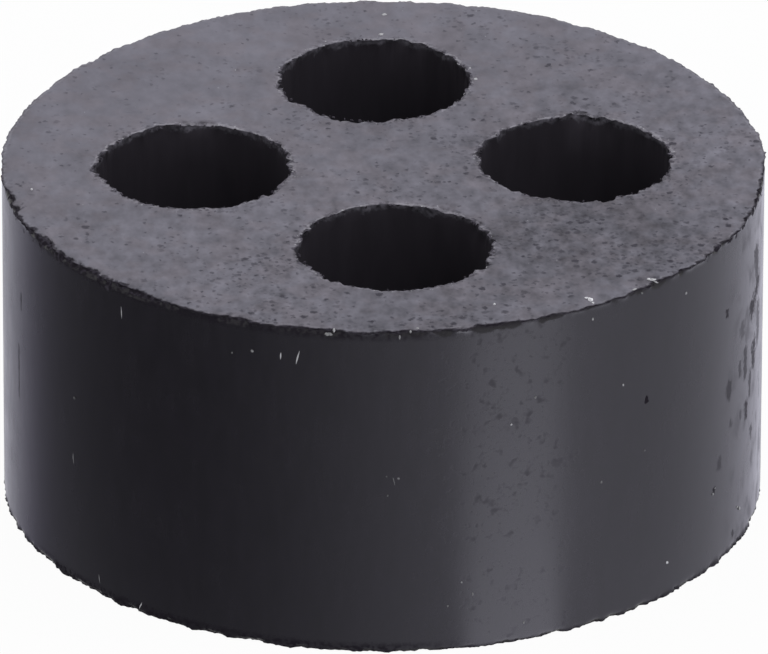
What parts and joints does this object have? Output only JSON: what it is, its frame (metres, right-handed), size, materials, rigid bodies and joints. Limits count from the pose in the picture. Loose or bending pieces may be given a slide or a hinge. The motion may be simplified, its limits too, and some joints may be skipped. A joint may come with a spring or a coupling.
{
  "type": "cable gland sealing insert",
  "caption": "Round rubber plug with straight through bores that seals several cables in one screwed cable gland.",
  "frame": {"origin": "centre of the lower cut face", "axes": "+Z along the plug's axis towards the upper cut face, +X through the centre of the first bore"},
  "size_m": [0.02, 0.02, 0.0093],
  "materials": {
    "rubber": "matt black moulded rubber, lighter grey and finely grained on the two sawn end faces"
  },
  "bodies": {
    "root": {"sealing_insert": "rubber"}
  },
  "joints": []
}
